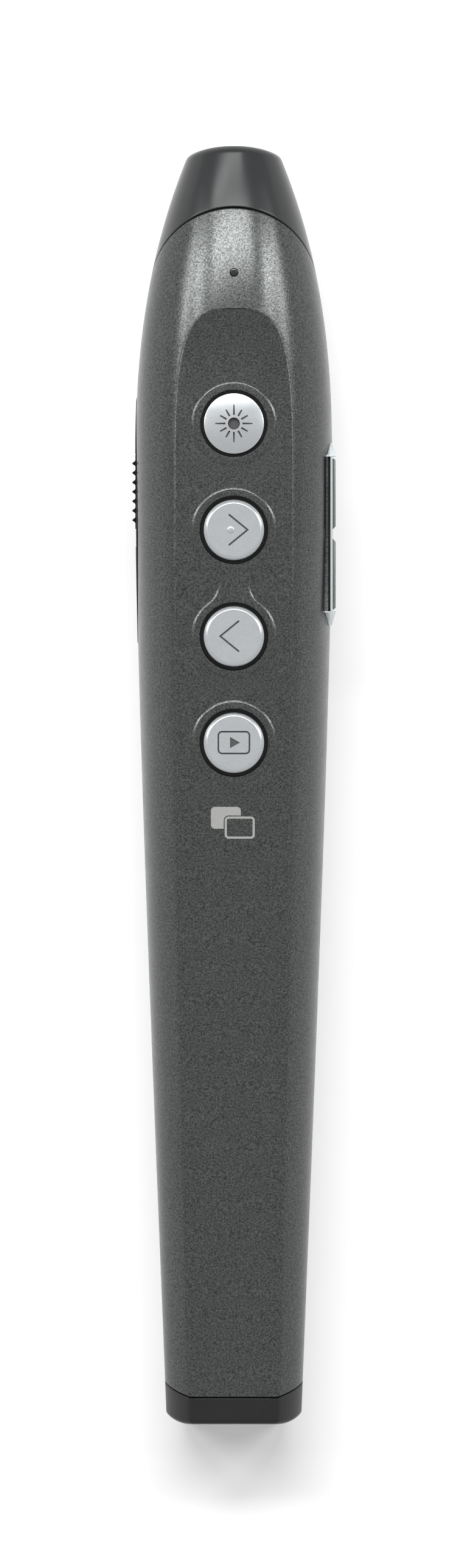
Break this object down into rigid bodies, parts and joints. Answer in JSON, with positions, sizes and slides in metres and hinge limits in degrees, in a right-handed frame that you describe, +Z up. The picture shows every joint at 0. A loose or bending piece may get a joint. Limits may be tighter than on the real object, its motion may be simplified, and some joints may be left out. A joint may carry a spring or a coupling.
{
  "type": "wireless presentation clicker",
  "caption": "Slim wireless presentation clicker with a flat key facet, laser nose, side power slider, volume rocker and a USB receiver stowed in the tail.",
  "frame": {"origin": "on the flat underside, below the middle of the length and of the width over the side controls", "axes": "+Y from the tail to the laser nose, +Z up out of the key facet, +X to the rocker's side"},
  "size_m": [0.024, 0.15, 0.0194],
  "materials": {
    "shell_paint": "fine metallic grey paint over plastic, satin",
    "smoke_plastic": "glossy smoke grey",
    "window": "dark red window",
    "black_plastic": "matt black",
    "gloss_black": "gloss black",
    "chrome_trim": "bright chrome plating",
    "steel": "nickel plated",
    "cell": "printed foil on a steel can",
    "copper": "tinned copper alloy",
    "board": "green solder mask on glass epoxy",
    "chip": "moulded epoxy",
    "ceramic": "white ceramic",
    "passive": "brown ceramic",
    "switch": "black nylon",
    "plunger": "white nylon",
    "brass": "turned brass",
    "lens": "clear",
    "silver_key": "bright silver paint, semi gloss",
    "grey_key": "silver grey metallic paint with a bright bevel",
    "gold_contact": "gold plated"
  },
  "bodies": {
    "case": {"upper_shell": "shell_paint", "lower_shell": "shell_paint", "nose_cap": "smoke_plastic", "laser_window": "window", "light_pipe": "black_plastic", "slider_panel": "gloss_black", "rocker_bezel": "chrome_trim", "rocker_pin": "steel", "battery_tray": "black_plastic", "front_cell": "cell", "rear_cell": "cell", "battery_spring": "steel", "spring_plate": "steel", "plus_contact": "steel", "negative_strip": "copper", "main_board": "board", "microcontroller": "chip", "radio_chip": "chip", "crystal": "steel", "chip_antenna": "ceramic", "chip_passives": "passive", "indicator_led": "ceramic", "laser_switch": "switch", "forward_switch": "switch", "back_switch": "switch", "screen_switch": "switch", "volume_up_switch": "switch", "volume_down_switch": "switch", "slide_switch": "switch", "board_screws": "steel", "case_screws": "steel", "laser_holder": "black_plastic", "laser_barrel": "brass", "laser_lens": "lens", "laser_diode": "brass", "laser_board": "board", "laser_leads": "copper", "receiver_dock": "black_plastic"},
    "laser_key": {"laser_button": "silver_key", "laser_plunger": "plunger"},
    "forward_key": {"forward_button": "grey_key", "forward_plunger": "plunger"},
    "back_key": {"back_button": "grey_key", "back_plunger": "plunger"},
    "screen_key": {"screen_button": "grey_key", "screen_plunger": "plunger"},
    "slider": {"power_slider": "black_plastic", "switch_lever": "switch"},
    "rocker": {"volume_rocker": "grey_key", "volume_up_plunger": "plunger", "volume_down_plunger": "plunger"},
    "door": {"battery_door": "shell_paint"},
    "receiver": {"receiver_cap": "gloss_black", "plug_shell": "steel", "receiver_board": "board", "plug_contacts": "gold_contact", "receiver_chip": "chip"}
  },
  "joints": [
    {"name": "laser_press", "type": "slide", "parent": "case", "child": "laser_key", "axis": [0, 0, -1], "range_m": [0, 0.0004], "stiffness_N_per_m": 500, "springref_m": -0.0004},
    {"name": "forward_press", "type": "slide", "parent": "case", "child": "forward_key", "axis": [0, 0, -1], "range_m": [0, 0.0004], "stiffness_N_per_m": 500, "springref_m": -0.0004},
    {"name": "back_press", "type": "slide", "parent": "case", "child": "back_key", "axis": [0, 0, -1], "range_m": [0, 0.0004], "stiffness_N_per_m": 500, "springref_m": -0.0004},
    {"name": "screen_press", "type": "slide", "parent": "case", "child": "screen_key", "axis": [0, 0, -1], "range_m": [0, 0.0004], "stiffness_N_per_m": 500, "springref_m": -0.0004},
    {"name": "power_slide", "type": "slide", "parent": "case", "child": "slider", "axis": [0, -1, 0], "range_m": [0, 0.002]},
    {"name": "rocker_tilt", "type": "hinge", "parent": "case", "child": "rocker", "pos_m": [0.0096, 0.02945, 0.01092], "axis": [0, 0, 1], "range_deg": [-2.5, 2.5], "stiffness_Nm_per_rad": 0.05},
    {"name": "door_swing", "type": "hinge", "parent": "case", "child": "door", "pos_m": [0, 0.0432, 0], "axis": [1, 0, 0], "range_deg": [0, 45]},
    {"name": "receiver_pull", "type": "slide", "parent": "case", "child": "receiver", "axis": [0, -1, 0], "range_m": [0, 0.022]}
  ]
}
